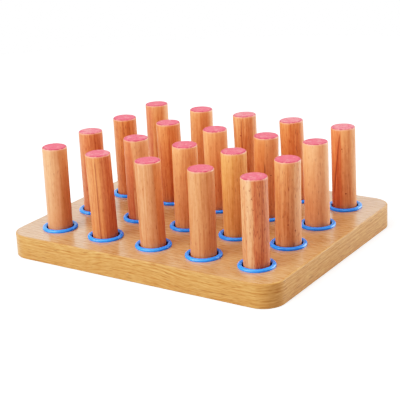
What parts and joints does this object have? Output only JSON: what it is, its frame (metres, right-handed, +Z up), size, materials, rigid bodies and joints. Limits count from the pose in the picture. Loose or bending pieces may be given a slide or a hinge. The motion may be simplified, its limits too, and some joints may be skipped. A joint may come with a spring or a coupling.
{
  "type": "peg board",
  "caption": "Rectangular wood-grain board with rounded corners and a grid of plastic-lined sockets, each holding a loose wooden peg with a painted top.",
  "frame": {"origin": "centre of the board's underside, on the surface that it stands on", "axes": "+X along the rows of five pegs (the board's length), +Y from the front edge to the back (its width), +Z up along the pegs"},
  "size_m": [0.24, 0.2, 0.0861],
  "materials": {
    "core_panel": "raw fibreboard, matt",
    "laminate": "oak-grain sheet, satin to glossy",
    "edge_band": "oak-grain edge strip, satin",
    "socket_ring": "glossy blue",
    "peg_wood": "sanded and lightly varnished hardwood, upper end painted pink"
  },
  "bodies": {
    "board": {"board_core": "core_panel", "top_laminate": "laminate", "bottom_laminate": "laminate", "edge_band": "edge_band", "ring_a1": "socket_ring", "ring_a2": "socket_ring", "ring_a3": "socket_ring", "ring_a4": "socket_ring", "ring_a5": "socket_ring", "ring_b1": "socket_ring", "ring_b2": "socket_ring", "ring_b3": "socket_ring", "ring_b4": "socket_ring", "ring_b5": "socket_ring", "ring_c1": "socket_ring", "ring_c2": "socket_ring", "ring_c3": "socket_ring", "ring_c4": "socket_ring", "ring_c5": "socket_ring", "ring_d1": "socket_ring", "ring_d2": "socket_ring", "ring_d3": "socket_ring", "ring_d4": "socket_ring", "ring_d5": "socket_ring"},
    "peg_a1": {"peg_a1": "peg_wood"},
    "peg_a2": {"peg_a2": "peg_wood"},
    "peg_a3": {"peg_a3": "peg_wood"},
    "peg_a4": {"peg_a4": "peg_wood"},
    "peg_a5": {"peg_a5": "peg_wood"},
    "peg_b1": {"peg_b1": "peg_wood"},
    "peg_b2": {"peg_b2": "peg_wood"},
    "peg_b3": {"peg_b3": "peg_wood"},
    "peg_b4": {"peg_b4": "peg_wood"},
    "peg_b5": {"peg_b5": "peg_wood"},
    "peg_c1": {"peg_c1": "peg_wood"},
    "peg_c2": {"peg_c2": "peg_wood"},
    "peg_c3": {"peg_c3": "peg_wood"},
    "peg_c4": {"peg_c4": "peg_wood"},
    "peg_c5": {"peg_c5": "peg_wood"},
    "peg_d1": {"peg_d1": "peg_wood"},
    "peg_d2": {"peg_d2": "peg_wood"},
    "peg_d3": {"peg_d3": "peg_wood"},
    "peg_d4": {"peg_d4": "peg_wood"},
    "peg_d5": {"peg_d5": "peg_wood"}
  },
  "joints": [
    {"name": "lift_a1", "type": "slide", "parent": "board", "child": "peg_a1", "axis": [0, 0, 1], "range_m": [0, 0.085]},
    {"name": "lift_a2", "type": "slide", "parent": "board", "child": "peg_a2", "axis": [0, 0, 1], "range_m": [0, 0.085]},
    {"name": "lift_a3", "type": "slide", "parent": "board", "child": "peg_a3", "axis": [0, 0, 1], "range_m": [0, 0.085]},
    {"name": "lift_a4", "type": "slide", "parent": "board", "child": "peg_a4", "axis": [0, 0, 1], "range_m": [0, 0.085]},
    {"name": "lift_a5", "type": "slide", "parent": "board", "child": "peg_a5", "axis": [0, 0, 1], "range_m": [0, 0.085]},
    {"name": "lift_b1", "type": "slide", "parent": "board", "child": "peg_b1", "axis": [0, 0, 1], "range_m": [0, 0.085]},
    {"name": "lift_b2", "type": "slide", "parent": "board", "child": "peg_b2", "axis": [0, 0, 1], "range_m": [0, 0.085]},
    {"name": "lift_b3", "type": "slide", "parent": "board", "child": "peg_b3", "axis": [0, 0, 1], "range_m": [0, 0.085]},
    {"name": "lift_b4", "type": "slide", "parent": "board", "child": "peg_b4", "axis": [0, 0, 1], "range_m": [0, 0.085]},
    {"name": "lift_b5", "type": "slide", "parent": "board", "child": "peg_b5", "axis": [0, 0, 1], "range_m": [0, 0.085]},
    {"name": "lift_c1", "type": "slide", "parent": "board", "child": "peg_c1", "axis": [0, 0, 1], "range_m": [0, 0.085]},
    {"name": "lift_c2", "type": "slide", "parent": "board", "child": "peg_c2", "axis": [0, 0, 1], "range_m": [0, 0.085]},
    {"name": "lift_c3", "type": "slide", "parent": "board", "child": "peg_c3", "axis": [0, 0, 1], "range_m": [0, 0.085]},
    {"name": "lift_c4", "type": "slide", "parent": "board", "child": "peg_c4", "axis": [0, 0, 1], "range_m": [0, 0.085]},
    {"name": "lift_c5", "type": "slide", "parent": "board", "child": "peg_c5", "axis": [0, 0, 1], "range_m": [0, 0.085]},
    {"name": "lift_d1", "type": "slide", "parent": "board", "child": "peg_d1", "axis": [0, 0, 1], "range_m": [0, 0.085]},
    {"name": "lift_d2", "type": "slide", "parent": "board", "child": "peg_d2", "axis": [0, 0, 1], "range_m": [0, 0.085]},
    {"name": "lift_d3", "type": "slide", "parent": "board", "child": "peg_d3", "axis": [0, 0, 1], "range_m": [0, 0.085]},
    {"name": "lift_d4", "type": "slide", "parent": "board", "child": "peg_d4", "axis": [0, 0, 1], "range_m": [0, 0.085]},
    {"name": "lift_d5", "type": "slide", "parent": "board", "child": "peg_d5", "axis": [0, 0, 1], "range_m": [0, 0.085]}
  ]
}
